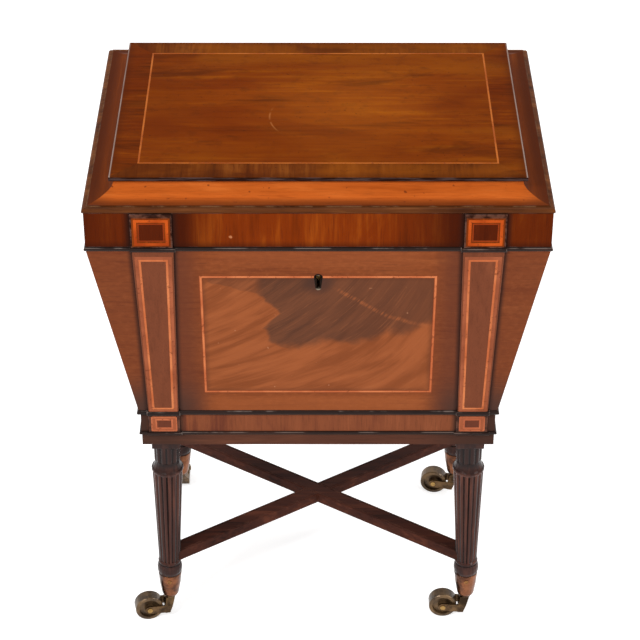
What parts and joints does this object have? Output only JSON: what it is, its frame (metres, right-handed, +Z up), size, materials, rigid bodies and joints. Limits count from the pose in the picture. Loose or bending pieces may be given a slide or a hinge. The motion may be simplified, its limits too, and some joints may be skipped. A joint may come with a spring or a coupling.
{
  "type": "cellarette",
  "caption": "Tapered wine chest with a hinged lid and bottle divisions, on reeded legs with a crossed stretcher and brass casters.",
  "frame": {"origin": "on the floor, under the middle of the object", "axes": "+Z up, -Y towards the front with the keyhole, +X along the front to its right as seen from in front"},
  "size_m": [0.52, 0.3952, 0.6625],
  "materials": {
    "mahogany_case": "french polished",
    "mahogany_moulding": "french polished",
    "mahogany_crossbanded": "french polished",
    "mahogany_top": "french polished",
    "mahogany_stand": "french polished, worn",
    "plain_wood_inside": "bare, oiled",
    "lining_metal": "dull grey sheet",
    "brass": "worn, unlacquered",
    "aged_brass": "aged dark with rubbed edges"
  },
  "bodies": {
    "case": {"front_board": "mahogany_case", "back_board": "mahogany_case", "left_board": "mahogany_case", "right_board": "mahogany_case", "bottom_board": "plain_wood_inside", "pilaster_left": "mahogany_crossbanded", "pilaster_right": "mahogany_crossbanded", "rim_moulding": "mahogany_moulding", "waist_moulding": "mahogany_moulding", "lining": "lining_metal", "divisions_long": "plain_wood_inside", "divisions_cross": "plain_wood_inside", "hinge_leaves_case": "brass", "hinge_pins": "brass", "hinge_screws_case": "brass", "lock_case": "brass", "lock_drill_pin": "brass", "keyhole_liner": "brass", "apron_front": "mahogany_crossbanded", "apron_back": "mahogany_crossbanded", "apron_left": "mahogany_crossbanded", "apron_right": "mahogany_crossbanded", "apron_tablets": "mahogany_crossbanded", "stand_moulding": "mahogany_moulding", "base_rails": "mahogany_stand", "stretcher_bar_under": "mahogany_stand", "stretcher_bar_over": "mahogany_stand", "cup_screws": "aged_brass", "leg_front_left": "mahogany_stand", "caster_cup_front_left": "aged_brass", "leg_front_right": "mahogany_stand", "caster_cup_front_right": "aged_brass", "leg_back_left": "mahogany_stand", "caster_cup_back_left": "aged_brass", "leg_back_right": "mahogany_stand", "caster_cup_back_right": "aged_brass"},
    "lid": {"lid_panel": "mahogany_top", "lid_cove": "mahogany_moulding", "lid_edge_moulding": "mahogany_moulding", "lid_frieze_front": "mahogany_crossbanded", "lid_frieze_back": "mahogany_crossbanded", "lid_frieze_left": "mahogany_crossbanded", "lid_frieze_right": "mahogany_crossbanded", "lid_tablets": "mahogany_crossbanded", "hinge_leaves_lid": "brass", "screws_lid": "brass", "lock_link_plate": "brass"},
    "lock_bolt": {"lock_bolt": "brass"},
    "caster_front_left": {"caster_fork_front_left": "aged_brass", "caster_axle_front_left": "aged_brass"},
    "wheel_front_left": {"caster_wheel_front_left": "aged_brass"},
    "caster_front_right": {"caster_fork_front_right": "aged_brass", "caster_axle_front_right": "aged_brass"},
    "wheel_front_right": {"caster_wheel_front_right": "aged_brass"},
    "caster_back_left": {"caster_fork_back_left": "aged_brass", "caster_axle_back_left": "aged_brass"},
    "wheel_back_left": {"caster_wheel_back_left": "aged_brass"},
    "caster_back_right": {"caster_fork_back_right": "aged_brass", "caster_axle_back_right": "aged_brass"},
    "wheel_back_right": {"caster_wheel_back_right": "aged_brass"}
  },
  "joints": [
    {"name": "lid_hinge", "type": "hinge", "parent": "case", "child": "lid", "pos_m": [0, 0.19445, 0.589], "axis": [-1, 0, 0], "range_deg": [0, 95]},
    {"name": "lock_bolt_slide", "type": "slide", "parent": "case", "child": "lock_bolt", "axis": [1, 0, 0], "range_m": [0, 0.0064]},
    {"name": "swivel_front_left", "type": "hinge", "parent": "case", "child": "caster_front_left", "pos_m": [-0.18726, -0.12651, 0.033], "axis": [0, 0, 1], "continuous": true},
    {"name": "roll_front_left", "type": "hinge", "parent": "caster_front_left", "child": "wheel_front_left", "pos_m": [-0.21514, -0.13244, 0.0175], "axis": [-0.2079, 0.9781, 0], "continuous": true},
    {"name": "swivel_front_right", "type": "hinge", "parent": "case", "child": "caster_front_right", "pos_m": [0.18726, -0.12651, 0.033], "axis": [0, 0, 1], "continuous": true},
    {"name": "roll_front_right", "type": "hinge", "parent": "caster_front_right", "child": "wheel_front_right", "pos_m": [0.15876, -0.12651, 0.0175], "axis": [0, 1, 0], "continuous": true},
    {"name": "swivel_back_left", "type": "hinge", "parent": "case", "child": "caster_back_left", "pos_m": [-0.18726, 0.12651, 0.033], "axis": [0, 0, 1], "continuous": true},
    {"name": "roll_back_left", "type": "hinge", "parent": "caster_back_left", "child": "wheel_back_left", "pos_m": [-0.18726, 0.15501, 0.0175], "axis": [1, 0, 0], "continuous": true},
    {"name": "swivel_back_right", "type": "hinge", "parent": "case", "child": "caster_back_right", "pos_m": [0.18726, 0.12651, 0.033], "axis": [0, 0, 1], "continuous": true},
    {"name": "roll_back_right", "type": "hinge", "parent": "caster_back_right", "child": "wheel_back_right", "pos_m": [0.15897, 0.12999, 0.0175], "axis": [0.1219, 0.9925, 0], "continuous": true}
  ]
}
